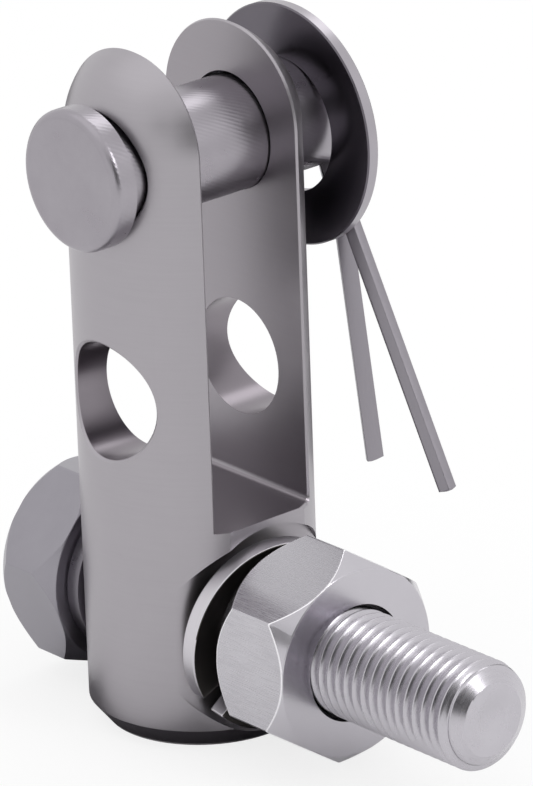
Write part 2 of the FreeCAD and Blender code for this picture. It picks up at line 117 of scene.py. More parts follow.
def add_formula(
    tree: bpy.types.NodeTree, place: bpy.types.NodeSocket, steps: tuple[Step, ...],
) -> bpy.types.NodeSocket:
    """Add the nodes that work out a formula from a point's coordinates.

    Args:
        tree: Node tree that takes the nodes.
        place: Socket with the point, known to the steps as X, Y and Z.
        steps: Name, operation and values of each step. A value is a number or an earlier name.

    Returns:
        The socket with the last step's result.
    """
    known = dict(add_node(tree, "ShaderNodeSeparateXYZ", inputs={"Vector": place}).outputs)
    for name, operation, values in steps:
        inputs = {
            index: known[value] if isinstance(value, str) else value
            for index, value in enumerate(values)
        }
        node = add_node(tree, "ShaderNodeMath", {"operation": operation}, inputs)
        known[name] = node.outputs["Value"]
    return known[steps[-1][0]]


@dataclass(frozen=True)
class HelixMarks:
    """Fine parallel grooves that wind round a shaft along Y, in millimetres."""

    axis_height: float
    starts: int
    lines_per_mm: float
    depth: float
    low: float
    high: float

    def steps(self) -> tuple[Step, ...]:
        """Formula of the grooves' height, between -depth and +depth in metres.

        Returns:
            Its steps for add_formula.
        """
        return (
            ("above", "SUBTRACT", ("Z", self.axis_height * MM)),
            ("angle", "ARCTAN2", ("above", "X")),
            ("along", "MULTIPLY", ("Y", math.tau * self.lines_per_mm / MM)),
            ("phase", "MULTIPLY_ADD", ("angle", float(self.starts), "along")),
            ("wave", "SINE", ("phase",)),
            ("past_low", "GREATER_THAN", ("Y", self.low * MM)),
            ("before_high", "LESS_THAN", ("Y", self.high * MM)),
            ("shown", "MULTIPLY", ("past_low", "before_high")),
            ("depth", "MULTIPLY", ("shown", self.depth * MM)),
            ("height", "MULTIPLY", ("wave", "depth")),
        )


@dataclass(frozen=True)
class BarCuts:
    """Where the bar's slot and lower holes were cut, with a little to spare.

    Lengths are in millimetres. The slot's sides take only a share of the cut's finish, whose
    darker colour is painted shade.
    """

    half_slot: float = 10.4
    below_floor: float = 39.7
    above_floor: float = 40.3
    hole_height: float = 61.7
    hole_radius: float = 10.36
    side_share: float = 0.4

    def steps(self) -> tuple[Step, ...]:
        """Formula of the cut's share: 1 on holes and floor, less on the sides, 0 outside.

        Returns:
            Its steps for add_formula.
        """
        return (
            ("beside", "ABSOLUTE", ("Y",)),
            ("between", "LESS_THAN", ("beside", self.half_slot * MM)),
            ("above", "GREATER_THAN", ("Z", self.below_floor * MM)),
            ("slot", "MULTIPLY", ("between", "above")),
            ("on_floor", "LESS_THAN", ("Z", self.above_floor * MM)),
            ("share", "MULTIPLY_ADD", ("on_floor", 1.0 - self.side_share, self.side_share)),
            ("slot_share", "MULTIPLY", ("slot", "share")),
            ("rise", "SUBTRACT", ("Z", self.hole_height * MM)),
            ("across", "MULTIPLY", ("X", "X")),
            ("square", "MULTIPLY_ADD", ("rise", "rise", "across")),
            ("hole", "LESS_THAN", ("square", (self.hole_radius * MM) ** 2)),
            ("cut", "MAXIMUM", ("slot_share", "hole")),
        )


@dataclass(frozen=True)
class SheetEdge:
    """Edge of a flat washer across Y, told by how little its surface faces along Y."""

    steepest: float = 0.6

    def steps(self) -> tuple[Step, ...]:
        """Formula that gives 1 on the edge and 0 on the flat sides.

        Returns:
            Its steps for add_formula.
        """
        return (
            ("beside", "ABSOLUTE", ("Y",)),
            ("cut", "LESS_THAN", ("beside", self.steepest)),
        )


def new_material(name: str) -> tuple[bpy.types.Material, bpy.types.NodeTree]:
    """Make a material with an empty node tree.

    Args:
        name: Name of the material.

    Returns:
        The material and its node tree.
    """
    material = bpy.data.materials.new(name)
    material.use_nodes = True
    material.node_tree.nodes.clear()
    return material, material.node_tree


class Zone(Enum):
    """Where a finish changes to that of a cut surface: the coordinates it reads and a formula."""

    NOWHERE = None
    SLOT_AND_HOLES = ("Object", BarCuts().steps())
    SHEET_EDGE = ("Normal", SheetEdge().steps())


@dataclass(frozen=True)
class SteelFinish:
    """Stainless steel with the marks that its making left.

    The grain gives the size of one mark along each axis. It, the marks' depth and the clouds'
    size are in millimetres. Real marks are finer than the render can show, so they are drawn
    coarser. They give the metal its soft, streaked reflections, and cloudy patches change how
    sharp it reflects. The cut is the colour inside the zone.
    """

    name: str
    light: str
    dark: str
    roughness: float
    roughness_spread: float
    grain: tuple[float, float, float]
    mark_depth: float
    streak_share: float = 0.5
    cloud_size: float = 9.0
    zone: Zone = Zone.NOWHERE
    # In the bar's slot and holes the cut colour is darker: painted shade in these recesses.
    cut: str = "#000000"
    cut_roughness: float = 0.2
    helix: HelixMarks | None = None

    def build(self) -> bpy.types.Material:
        """Make the material.

        Returns:
            A metal material with streaks, clouds and fine relief.
        """
        material, tree = new_material(self.name)
        place = add_node(tree, "ShaderNodeTexCoord")
        stretched = add_node(
            tree, "ShaderNodeMapping", {"vector_type": "TEXTURE"},
            {"Vector": place.outputs["Object"],
             "Scale": tuple(size * MM for size in self.grain)},
        )
        streaks = add_node(
            tree, "ShaderNodeTexNoise",
            inputs={"Vector": stretched.outputs["Vector"], "Scale": 1.0, "Detail": 4.0,
                    "Roughness": 0.6},
        )
        clouds = add_node(
            tree, "ShaderNodeTexNoise",
            inputs={"Vector": place.outputs["Object"], "Scale": 1.0 / (self.cloud_size * MM),
                    "Detail": 3.0, "Roughness": 0.55},
        )
        blend = add_node(
            tree, "ShaderNodeMix", {"data_type": "FLOAT"},
            {"Factor": self.streak_share, "A": clouds.outputs["Fac"],
             "B": streaks.outputs["Fac"]},
        )
        colour = add_node(
            tree, "ShaderNodeMix", {"data_type": "RGBA"},
            {"Factor": blend.outputs["Result"], "A": srgb(self.dark), "B": srgb(self.light)},
        ).outputs[2]
        gloss = add_node(
            tree, "ShaderNodeMapRange",
            inputs={"Value": blend.outputs["Result"], "From Min": NOISE_LOW,
                    "From Max": NOISE_HIGH,
                    "To Min": self.roughness - self.roughness_spread,
                    "To Max": self.roughness + self.roughness_spread},
        ).outputs["Result"]
        if self.zone is not Zone.NOWHERE:
            output, steps = self.zone.value
            share = add_formula(tree, place.outputs[output], steps)
            colour = add_node(
                tree, "ShaderNodeMix", {"data_type": "RGBA"},
                {"Factor": share, "A": colour, "B": srgb(self.cut)},
            ).outputs[2]
            gloss = add_node(
                tree, "ShaderNodeMix", {"data_type": "FLOAT"},
                {"Factor": share, "A": gloss, "B": self.cut_roughness},
            ).outputs["Result"]
        height = add_node(
            tree, "ShaderNodeMath", {"operation": "MULTIPLY"},
            {0: streaks.outputs["Fac"], 1: self.mark_depth * MM},
        ).outputs["Value"]
        if self.helix:
            grooves = add_formula(tree, place.outputs["Object"], self.helix.steps())
            height = add_node(
                tree, "ShaderNodeMath", {"operation": "ADD"}, {0: height, 1: grooves},
            ).outputs["Value"]
        relief = add_node(
            tree, "ShaderNodeBump",
            inputs={"Height": height, "Strength": 1.0, "Distance": 1.0},
        )
        shader = add_node(
            tree, "ShaderNodeBsdfPrincipled",
            inputs={"Base Color": colour, "Metallic": 1.0,
                    "Roughness": gloss, "Normal": relief.outputs["Normal"]},
        )
        add_node(
            tree, "ShaderNodeOutputMaterial",
            inputs={"Surface": shader.outputs["BSDF"]},
        )
        return material


# Bar stock turned all over: satin, with hardly visible rings. The slot and the holes keep the
# cutter's sleeker surface, and are painted darker as shade in these recesses.
MILLED_BAR = SteelFinish(
    name="milled_stainless_bar", light="#AFABB0", dark="#A19DA2", roughness=0.38,
    roughness_spread=0.05, grain=(16.0, 16.0, 0.5), mark_depth=0.001,
    zone=Zone.SLOT_AND_HOLES, cut="#8A848A", cut_roughness=0.28,
)
# Pin turned and rolled: fine slanting grooves about 0.7 mm apart, coarser than the real ones so
# that they just show.
TURNED_PIN = SteelFinish(
    name="turned_stainless_pin", light="#A9A5AB", dark="#948F96", roughness=0.3,
    roughness_spread=0.05, grain=(3.0, 3.0, 3.0), mark_depth=0.0, streak_share=0.4,
    helix=HelixMarks(axis_height=102.1, starts=80, lines_per_mm=0.72, depth=0.005,
                     low=-24.0, high=32.4),
)
# Washer punched from rolled sheet: smooth and dark, with hardly any lines and a paler edge.
PUNCHED_SHEET = SteelFinish(
    name="punched_stainless_sheet", light="#6F6B72", dark="#625E65", roughness=0.2,
    roughness_spread=0.05, grain=(20.0, 0.8, 20.0), mark_depth=0.0005,
    zone=Zone.SHEET_EDGE, cut="#A8A4AA", cut_roughness=0.3,
)
# The bolt's washer, blanked and tumbled: dark and soft, a little paler than the pin's.
TUMBLED_SHEET = SteelFinish(
    name="tumbled_stainless_sheet", light="#858188", dark="#757178", roughness=0.3,
    roughness_spread=0.05, grain=(3.0, 3.0, 3.0), mark_depth=0.0005,
)
# Half-round wire drawn through a die: lines along the wire.
DRAWN_WIRE = SteelFinish(
    name="drawn_stainless_wire", light="#9C989E", dark="#88848B", roughness=0.38,
    roughness_spread=0.06, grain=(0.5, 0.5, 14.0), mark_depth=0.002,
)
# Bolt head, forged and tumbled: grey and soft.
FORGED_HEAD = SteelFinish(
    name="forged_stainless_head", light="#A19EA5", dark="#908D94", roughness=0.34,
    roughness_spread=0.06, grain=(2.0, 2.0, 2.0), mark_depth=0.001, streak_share=0.3,
)
# Thread rolled between dies: burnished and bright.
ROLLED_THREAD = SteelFinish(
    name="rolled_stainless_thread", light="#C7C4CA", dark="#B5B2B8", roughness=0.27,
    roughness_spread=0.05, grain=(0.25, 5.0, 5.0), mark_depth=0.001,
)
# Nut cut from hexagon bar: drawn flats with dry streaks along the bar.
BRUSHED_NUT = SteelFinish(
    name="brushed_stainless_nut", light="#D6D4D9", dark="#A19EA4", roughness=0.27,
    roughness_spread=0.08, grain=(5.0, 0.22, 0.22), mark_depth=0.003, streak_share=0.75,
)
# Faces of the nut, turned smooth after the flats.
TURNED_FACE = SteelFinish(
    name="turned_stainless_face", light="#C6C3C9", dark="#BCB9BF", roughness=0.23,
    roughness_spread=0.03, grain=(3.0, 3.0, 3.0), mark_depth=0.0, streak_share=0.2,
)
# Thin ridge where the nut's chamfer meets its flats: painted nearly white as a highlight.
RIDGE_PAINTED_HIGHLIGHT = SteelFinish(
    name="nut_ridge_painted_highlight", light="#F4F2F6", dark="#E2E0E4", roughness=0.25,
    roughness_spread=0.03, grain=(2.0, 2.0, 2.0), mark_depth=0.0, streak_share=0.2,
)
# Tapped bore in the nut's mouth: rough, and painted dark as shade, so that it reads as a gap.
BORE_PAINTED_SHADE = SteelFinish(
    name="nut_bore_painted_shade", light="#3A383C", dark="#2A282C", roughness=0.5,
    roughness_spread=0.04, grain=(2.0, 2.0, 2.0), mark_depth=0.0, streak_share=0.3,
)
# Spring washer wound from flattened wire: a satin band, painted pale as light that the lamps don't
# give it, so that it stands out beside the bar.
SPRING_BAND_PAINTED_LIGHT = SteelFinish(
    name="spring_band_painted_light", light="#D8D5DA", dark="#C6C3C8", roughness=0.36,
    roughness_spread=0.05, grain=(0.5, 8.0, 8.0), mark_depth=0.001,
)
# Side faces of the spring washer: painted dark as shade, so that the gap beside the nut reads.
SPRING_SIDE_PAINTED_SHADE = SteelFinish(
    name="spring_side_painted_shade", light="#55524F", dark="#454240", roughness=0.4,
    roughness_spread=0.05, grain=(2.0, 2.0, 2.0), mark_depth=0.0, streak_share=0.3,
)


def weight_normals(piece: bpy.types.Object) -> None:
    """Shade a piece smoothly with its large faces kept flat.

    Args:
        piece: The modelled piece.
    """
    for polygon in piece.data.polygons:
        polygon.use_smooth = True
    weighting = piece.modifiers.new("large_faces_flat", "WEIGHTED_NORMAL")
    weighting.weight = 100
    weighting.keep_sharp = True


def skinned(
    name: str, skins: list[tuple[list[Row], bool]], finish: bpy.types.Material,
) -> bpy.types.Object:
    """Skin several runs of rows with quads, as one mesh.

    Args:
        name: Name of the piece.
        skins: Runs of rows, each with whether its rows close on themselves.
        finish: Material of the piece.

    Returns:
        The new object, linked to the scene.
    """
    points: list[tuple[float, ...]] = []
    faces = []
    for rows, closed in skins:
        first = len(points)
        width = len(rows[0])
        points += [tuple(point) for row in rows for point in row]
        for index in range(len(rows) - 1):
            for step in range(width if closed else width - 1):
                near = first + index * width + step
                side = first + index * width + (step + 1) % width
                faces.append((near, side, side + width, near + width))
    mesh = bpy.data.meshes.new(name)
    mesh.from_pydata(points, [], faces)
    tidy_mesh(mesh)
    mesh.materials.append(finish)
    piece = bpy.data.objects.new(name, mesh)
    bpy.context.scene.collection.objects.link(piece)
    weight_normals(piece)
    return piece


def tidy_mesh(mesh: bpy.types.Mesh, joined_within: float = 0.002, shortest: float = 0.001) -> None:
    """Join points that meet and drop faces with no area.

    Args:
        mesh: The mesh to tidy.
        joined_within: Distance in millimetres below which points become one.
        shortest: Length in millimetres below which an edge goes.
    """
    work = bmesh.new()
    work.from_mesh(mesh)
    bmesh.ops.remove_doubles(work, verts=work.verts, dist=joined_within * MM)
    bmesh.ops.dissolve_degenerate(work, edges=work.edges, dist=shortest * MM)
    bmesh.ops.recalc_face_normals(work, faces=work.faces)
    work.to_mesh(mesh)
    work.free()


def refinish(
    piece: bpy.types.Object, finish: bpy.types.Material,
    chosen: Callable[[Vector, Vector], bool],
) -> None:
    """Give some faces of a modelled piece another finish.

    Args:
        piece: The modelled piece.
        finish: Material of the chosen faces.
        chosen: Tells from a face's centre and normal whether it is chosen.
    """
    piece.data.materials.append(finish)
    slot = len(piece.data.materials) - 1
    for polygon in piece.data.polygons:
        if chosen(polygon.center, polygon.normal):
            polygon.material_index = slot


@dataclass
class HexForm:
    """Hexagon along X whose corners are turned down to a cone, with every edge rounded.

    All sizes are in millimetres, and the turn is in degrees.
    """

    low: float
    high: float
    axis_height: float
    turn: float
    inner_low: float = 0.0
    inner_high: float = 0.0
    across_flats: float = 33.2
    cone_radius: float = 16.55
    cone_slope: float = 0.69
    face_inset: float = 1.5
    edge: float = 0.3
    ridge: float = 0.3
    corner: float = 0.5
    flat_steps: int = 22
    arc_steps: int = 3

    def outline(self) -> list[tuple[float, float]]:
        """Angles round the hexagon and the distance of its side at each.

        Returns:
            Pairs of angle in radians and distance from the axis.
        """
        apothem = self.across_flats / 2.0
        far = (apothem - self.corner) / math.cos(TWELFTH_TURN)
        rounded = far + self.corner * math.cos(TWELFTH_TURN)
        limit = math.atan2(self.corner * math.sin(TWELFTH_TURN), rounded)
        pairs = []
        for side in range(6):
            peak = math.radians(self.turn) + SIXTH_TURN * side
            for step in range(-self.arc_steps, self.arc_steps + 1):
                off = limit * step / self.arc_steps
                spread = self.corner ** 2 - (far * math.sin(off)) ** 2
                pairs.append((peak + off, far * math.cos(off) + math.sqrt(max(spread, 0.0))))
            for step in range(1, self.flat_steps):
                share = step / self.flat_steps
                off = limit + (SIXTH_TURN - 2.0 * limit) * share
                pairs.append((peak + off, apothem / math.cos(off - TWELFTH_TURN)))
        return pairs

    def corner_run(self, outer: float) -> list[tuple[float, float]]:
        """Rounded way from a face, over the cone, to the hexagon's side.

        Args:
            outer: Distance of the side from the axis.

        Returns:
            Pairs of depth below the face and distance from the axis.
        """
        lean = math.hypot(1.0, self.cone_slope)
        cone = self.cone_radius - self.edge * lean
        first = (self.edge, min(cone + self.cone_slope * self.edge, outer - self.edge))
        depth = max(
            (outer - self.ridge - self.cone_radius + self.ridge * lean) / self.cone_slope,
            self.edge,
        )
        second = (depth, outer - self.ridge)
        tilt = math.atan2(1.0, -self.cone_slope)
        run = []
        for centre, radius, start, end in (
            (first, self.edge, math.pi, tilt), (second, self.ridge, tilt, math.pi / 2.0),
        ):
            for step in range(self.arc_steps + 1):
                angle = start + (end - start) * step / self.arc_steps
                run.append((
                    centre[0] + radius * math.cos(angle),
                    centre[1] + radius * math.sin(angle),
                ))
        return run

    def rows(self) -> list[Row]:
        """Rows of points from the low face's middle, out, along and back to the high one's.

        Returns:
            Rows that run round the axis.
        """
        face = self.cone_radius - self.face_inset
        columns = []
        for angle, outer in self.outline():
            run = self.corner_run(outer)
            column = [(self.low, self.inner_low), (self.low, face)]
            column += [(self.low + depth, radius) for depth, radius in run]
            column += [(self.high - depth, radius) for depth, radius in reversed(run)]
            column += [(self.high, face), (self.high, self.inner_high)]
            columns.append([
                around_x(angle, along, radius, self.axis_height) for along, radius in column
            ])
        return [[column[index] for column in columns] for index in range(len(columns[0]))]


def around_x(angle: float, along: float, radius: float, axis_height: float) -> Vector:
    """Point about an axis along X, from sizes in millimetres.

    Args:
        angle: Angle round the axis in radians.
        along: Place along X.
        radius: Distance from the axis.
        axis_height: Height of the axis.

    Returns:
        The point in metres.
    """
    return Vector((
        along * MM,
        radius * math.cos(angle) * MM,
        (axis_height + radius * math.sin(angle)) * MM,
    ))


def turned_rows(
    profile: list[tuple[float, float]], axis_height: float, steps: int = 120,
) -> list[Row]:
    """Rows of a shape turned about an axis along X.

    Args:
        profile: Pairs of place along X and radius, in millimetres.
        axis_height: Height of the axis in millimetres.
        steps: How many points each row has.

    Returns:
        One closed row for each pair.
    """
    angles = [math.tau * step / steps for step in range(steps)]
    return [
        [around_x(angle, along, radius, axis_height) for angle in angles]
        for along, radius in profile
    ]


def facing(place: Place) -> Euler:
    """Rotation that turns a lamp or a card at a place toward the object's middle."""
    toward = OBJECT_MIDDLE - Vector(place)
    return toward.to_track_quat("-Z", "Y").to_euler()


@dataclass
class Camera:
    """Camera at the photograph's viewing angle.

    Angles are in degrees, distances in metres and the lens in millimetres.
    """

    azimuth: float = 49.753
    elevation: float = 21.206
    roll: float = -2.063
    distance: float = 1.33075
    lens: float = 343.95
    aim: Place = (-0.031951, 0.04329, 0.036955)
    farthest: float = 20.0

    def build(self) -> bpy.types.Object:
        """Add the camera and make it the scene's own.

        Returns:
            The camera object.
        """
        turn = math.radians(self.azimuth)
        rise = math.radians(self.elevation)
        back = Vector((
            math.sin(turn) * math.cos(rise), -math.cos(turn) * math.cos(rise), math.sin(rise),
        ))
        right = Vector((math.cos(turn), math.sin(turn), 0.0))
        up = back.cross(right)
        lean = math.radians(self.roll)
        across = right * math.cos(lean) + up * math.sin(lean)
        upward = up * math.cos(lean) - right * math.sin(lean)
        data = bpy.data.cameras.new("photo_camera")
        data.lens = self.lens
        data.clip_end = self.farthest
        camera = bpy.data.objects.new("photo_camera", data)
        stand = Matrix((across, upward, back)).transposed().to_4x4()
        stand.translation = Vector(self.aim) + back * self.distance
        camera.matrix_world = stand
        bpy.context.scene.collection.objects.link(camera)
        bpy.context.scene.camera = camera
        return camera


@dataclass(frozen=True)
class Softbox:
    """Square lamp that faces the object: its place and side in metres, its power in watts."""

    name: str
    place: Place
    side: float
    power: float

    def build(self) -> None:
        """Add the lamp."""
        data = bpy.data.lights.new(self.name, "AREA")
        data.size = self.side
        data.energy = self.power
        lamp = bpy.data.objects.new(self.name, data)
        lamp.location = self.place
        lamp.rotation_euler = facing(self.place)
        bpy.context.scene.collection.objects.link(lamp)


@dataclass(frozen=True)
class Flag:
    """Felt card that darkens the metal's reflections and is seen nowhere else.

    It lies flat on the floor, or it stands facing the object. Lengths are in metres, and the
    felt is an sRGB hex colour.
    """

    name: str
    place: Place
    width: float
    height: float
    lies_flat: bool
    felt: str

    def build(self) -> None:
        """Add the card."""
        material, tree = new_material(self.name + "_matt_felt")
        felt = add_node(tree, "ShaderNodeBsdfDiffuse", inputs={"Color": srgb(self.felt)})
        add_node(tree, "ShaderNodeOutputMaterial", inputs={"Surface": felt.outputs[0]})
        flag = add_sheet(self.name, self.width, self.height, material)
        flag.location = self.place
        if not self.lies_flat:
            flag.rotation_euler = facing(self.place)
        flag.visible_camera = False
        flag.visible_diffuse = False
        flag.visible_shadow = False


def add_sheet(
    name: str, width: float, height: float, material: bpy.types.Material,
) -> bpy.types.Object:
    """Add one flat sheet about the origin that belongs to the studio.

    Args:
        name: Name of the sheet.
        width: Its length along X in metres.
        height: Its length along Y in metres.
        material: What it is made of.

    Returns:
        The sheet's object.
    """
    across, up = width / 2.0, height / 2.0
    corners = [(-across, -up, 0.0), (across, -up, 0.0), (across, up, 0.0), (-across, up, 0.0)]
    mesh = bpy.data.meshes.new(name)
    mesh.from_pydata(corners, [], [(0, 1, 2, 3)])
    mesh.materials.append(material)
    sheet = bpy.data.objects.new(name, mesh)
    bpy.context.scene.collection.objects.link(sheet)
    return sheet


SOFTBOXES = (
    Softbox("top_softbox", (-0.25, -0.35, 1.15), 1.1, 0.9),
    Softbox("back_softbox", (-0.28, 0.66, 1.06), 0.45, 1.0),
    Softbox("right_softbox", (0.95, 0.22, 0.80), 0.35, 2.3),
)
FLAGS = (
    Flag("low_flag_behind", (-0.39, 0.40, 0.004), 0.72, 0.60, True, "#1C1B1E"),
    # The foot flag is a grey card under the bar, seen only in reflections: painted shade in the
    # foot's chamfer, where the floor lies in the bar's shadow.
    Flag("foot_flag", (0.0, 0.0, 0.0004), 0.053, 0.053, True, "#5E5C60"),
    Flag("camera_side_flag", (0.92, -0.30, 0.37), 0.90, 0.68, False, "#4C4C4C"),
    Flag("front_flag", (0.43, -0.82, 0.46), 0.17, 0.22, False, "#1C1B1E"),
)


@dataclass
class Studio:
    """Pale floor, white background, soft lamps and dark flags out of the camera's sight."""

    floor_size: float = 3.0
    floor_glow: float = 0.8
    world_level: float = 0.95

    def build(self) -> None:
        """Add the floor, the world, the lamps and the flags."""
        bpy.context.scene.view_settings.view_transform = "Standard"
        self.add_world()
        self.add_floor()
        for part in SOFTBOXES + FLAGS:
            part.build()

    def add_world(self) -> None:
        """White to the camera and in reflections, and a soft level everywhere else."""
        world = bpy.data.worlds.new("studio_world")
        world.use_nodes = True
        bpy.context.scene.world = world
        tree = world.node_tree
        tree.nodes.clear()
        path = add_node(tree, "ShaderNodeLightPath")
        shown = path.outputs["Is Camera Ray"]
        for ray in ("Is Glossy Ray", "Is Transmission Ray"):
            shown = add_node(
                tree, "ShaderNodeMath", {"operation": "MAXIMUM"},
                {0: shown, 1: path.outputs[ray]},
            ).outputs["Value"]
        soft, white = (
            add_node(
                tree, "ShaderNodeBackground",
                inputs={"Color": srgb("#FFFFFF"), "Strength": strength},
            )
            for strength in (self.world_level, 1.0)
        )
        mix = add_node(
            tree, "ShaderNodeMixShader",
            inputs={0: shown, 1: soft.outputs[0], 2: white.outputs[0]},
        )
        add_node(tree, "ShaderNodeOutputWorld", inputs={"Surface": mix.outputs[0]})

    def add_floor(self) -> None:
        """Matt white paper that keeps the shadow, and meets the white background in sight."""
        material, tree = new_material("white_paper_floor")
        matt = add_node(tree, "ShaderNodeBsdfDiffuse", inputs={"Color": srgb("#F4F4F4")})
        glow = add_node(tree, "ShaderNodeEmission", inputs={"Strength": 1.0})
        path = add_node(tree, "ShaderNodeLightPath")
        share = add_node(
            tree, "ShaderNodeMath", {"operation": "MULTIPLY"},
            {0: path.outputs["Is Camera Ray"], 1: self.floor_glow},
        )
        mix = add_node(
            tree, "ShaderNodeMixShader",
            inputs={0: share.outputs["Value"], 1: matt.outputs[0], 2: glow.outputs[0]},
        )
        add_node(tree, "ShaderNodeOutputMaterial", inputs={"Surface": mix.outputs[0]})
        add_sheet("studio_floor", self.floor_size, self.floor_size, material)


@dataclass
class Thread:
    """Right-hand thread along X on the bolt, cut to its chamfered tip.

    All sizes are in millimetres. The pitch is that of twelve threads to the inch.
    """

    start: float
    end: float
    radius: float
    axis_height: float
    tip_radius: float
    tip_length: float = 2.2
    pitch: float = INCH / 12.0 / MM
    depth_share: float = 0.6134
    steps: int = 108

    def profile(self) -> list[tuple[float, float]]:
        """One pitch of the thread's section, from a rounded crest through the root and up.

        The crest is drawn in millimetres, and the flanks in shares of the full depth.

        Returns:
            Pairs of share of the pitch and depth below the crest.
        """
        depth = self.depth_share * self.pitch
        crest = [(0.0, 0.02), (0.03, 0.0), (0.095, 0.0), (0.125, 0.042)]
        flanks = [
            (0.23, 0.31), (0.34, 0.63), (0.455, 0.95), (0.5, 1.0),
            (0.6, 1.0), (0.645, 0.95), (0.77, 0.63), (0.88, 0.31),
        ]
        return crest + [(share, depth * sunk) for share, sunk in flanks]

    def limit(self, along: float) -> float:
        """Greatest radius at a place along the bolt, with the tip's cone.

        Args:
            along: Place along X.

        Returns:
            The radius there.
        """
        past = along - (self.end - self.tip_length)
        if past <= 0.0:
            return self.radius
        return self.radius - past * (self.radius - self.tip_radius) / self.tip_length

    def rows(self) -> list[Row]:
        """Rows of points along the bolt, one for each step round it.

        Returns:
            Rows that run along X and close into a full turn.
        """
        section = self.profile()
        spare_turns = 3
        turns = int((self.end - self.start) / self.pitch) + spare_turns
        rows = []
        for step in range(self.steps + 1):
            angle = math.tau * step / self.steps
            lead = self.start - self.pitch + self.pitch * step / self.steps
            row = []
            for turn in range(turns):
                for share, depth in section:
                    along = lead + (turn + share) * self.pitch
                    along = min(max(along, self.start), self.end)
                    radius = min(self.radius - depth, self.limit(along))
                    row.append(around_x(angle, along, radius, self.axis_height))
            rows.append(row)
        return rows


@dataclass
class SpringWasher:
    """Ring wound as most of one left-hand turn, with rounded edges and two cut ends.

    Lengths are in millimetres. The arc, roll, lean and tilt are in degrees. A face whose
    normal lies along X by more than the side lean belongs to a side.
    """

    centre: Place = (16.6, -0.5, 19.9)
    outer: float = 16.8
    inner: float = 10.75
    thickness: float = 3.3
    growth: float = 0.1
    rise: float = 2.2
    arc: float = 347.0
    roll: float = 60.0
    lean: float = 53.0
    tilt: float = 7.0
    edge: float = 0.35
    edge_steps: int = 4
    end_inset: float = 0.9
    side_lean: float = 0.8
    steps: int = 150

    def section(self) -> list[Vector]:
        """Four-sided section with rounded edges.

        Returns:
            Pairs of place along the axis and distance from it.
        """
        corners = [
            (-self.growth, self.inner), (0.0, self.outer), (self.thickness, self.outer),
            (self.thickness + self.growth, self.inner),
        ]
        points = []
        for index, corner in enumerate(corners):
            before = Vector(corners[index - 1]) - Vector(corner)
            after = Vector(corners[(index + 1) % len(corners)]) - Vector(corner)
            start = Vector(corner) + before.normalized() * self.edge
            end = Vector(corner) + after.normalized() * self.edge
            for step in range(self.edge_steps + 1):
                share = step / self.edge_steps
                points.append(
                    start * (1.0 - share) ** 2
                    + Vector(corner) * 2.0 * share * (1.0 - share)
                    + end * share ** 2
                )
        return points

    def slice_at(self, share: float, scale: float) -> Row:
        """Section of the ring before it is turned to its seat.

        Args:
            share: Share of the ring's arc.
            scale: Size of the section about its own middle, 0 for a point.

        Returns:
            The section's points in metres.
        """
        angle = math.radians(self.arc) * share
        middle = Vector((self.thickness / 2.0, (self.inner + self.outer) / 2.0))
        row = []
        for corner in self.section():
            along, radius = middle + (corner - middle) * scale
            row.append(Vector((
                along + self.rise * share, -radius * math.sin(angle), -radius * math.cos(angle),
            )) * MM)
        return row

    def build(
        self, finish: bpy.types.Material, side_finish: bpy.types.Material,
    ) -> bpy.types.Object:
        """Make the ring.

        Args:
            finish: Material of the ring's outer band, bore and ends, painted pale as light.
            side_finish: Material of its two sides, painted dark as shade.

        Returns:
            The ring's object.
        """
        lean = math.radians(self.lean)
        axis = Vector((0.0, math.cos(lean), -math.sin(lean)))
        seat = (
            Matrix.Translation(Vector(self.centre) * MM)
            @ Matrix.Rotation(math.radians(self.tilt), 4, axis)
            @ Matrix.Rotation(-math.radians(self.roll), 4, "X")
        )
        stations = [(0.0, 0.0), (0.0, self.end_inset)]
        stations += [(step / self.steps, 1.0) for step in range(self.steps + 1)]
        stations += [(1.0, self.end_inset), (1.0, 0.0)]
        rows = [[seat @ point for point in self.slice_at(*station)] for station in stations]
        ring = skinned("spring_washer_ring", [(rows, True)], finish)
        refinish(ring, side_finish, lambda centre, normal: abs(normal.x) > self.side_lean)
        return ring


@dataclass
class Bolt:
    """Hex bolt with its head, plain shank, thread and dimpled tip.

    Lengths are in millimetres, and the head's turn is in degrees.
    """

    axis_height: float
    head_top: float
    seat: float
    reach: float
    head_turn: float = 49.5
    radius: float = 9.525
    thread_start: float = 14.6
    tip_radius: float = 6.3
    dimple: tuple[tuple[float, float], ...] = (
        (4.6, 0.0), (4.2, 0.03), (3.5, 0.16), (2.8, 0.36), (2.0, 0.56), (1.2, 0.69),
        (0.5, 0.74), (0.0, 0.75),
    )

    def build_head(self, finish: bpy.types.Material) -> bpy.types.Object:
        """Make the head and the plain shank.

        Args:
            finish: Material of the head.

        Returns:
            The head's object.
        """
        head = HexForm(
            low=self.head_top, high=self.seat, axis_height=self.axis_height,
            turn=self.head_turn, inner_high=self.radius,
        )
        neck = turned_rows(
            [(self.seat, self.radius), (self.thread_start, self.radius)], self.axis_height,
        )
        return skinned("hex_bolt_head", [(head.rows(), True), (neck, True)], finish)

    def build_thread(self, finish: bpy.types.Material) -> bpy.types.Object:
        """Make the thread and the tip, whose dimple is given by radius and depth.

        Args:
            finish: Material of the thread.

        Returns:
            The thread's object.
        """
        thread = Thread(
            start=self.thread_start, end=self.reach, radius=self.radius,
            axis_height=self.axis_height, tip_radius=self.tip_radius,
        )
        face = [(self.reach, self.tip_radius)]
        face += [(self.reach - depth, radius) for radius, depth in self.dimple]
        tip = turned_rows(face, self.axis_height, thread.steps)
        return skinned("hex_bolt_thread", [(thread.rows(), False), (tip, True)], finish)


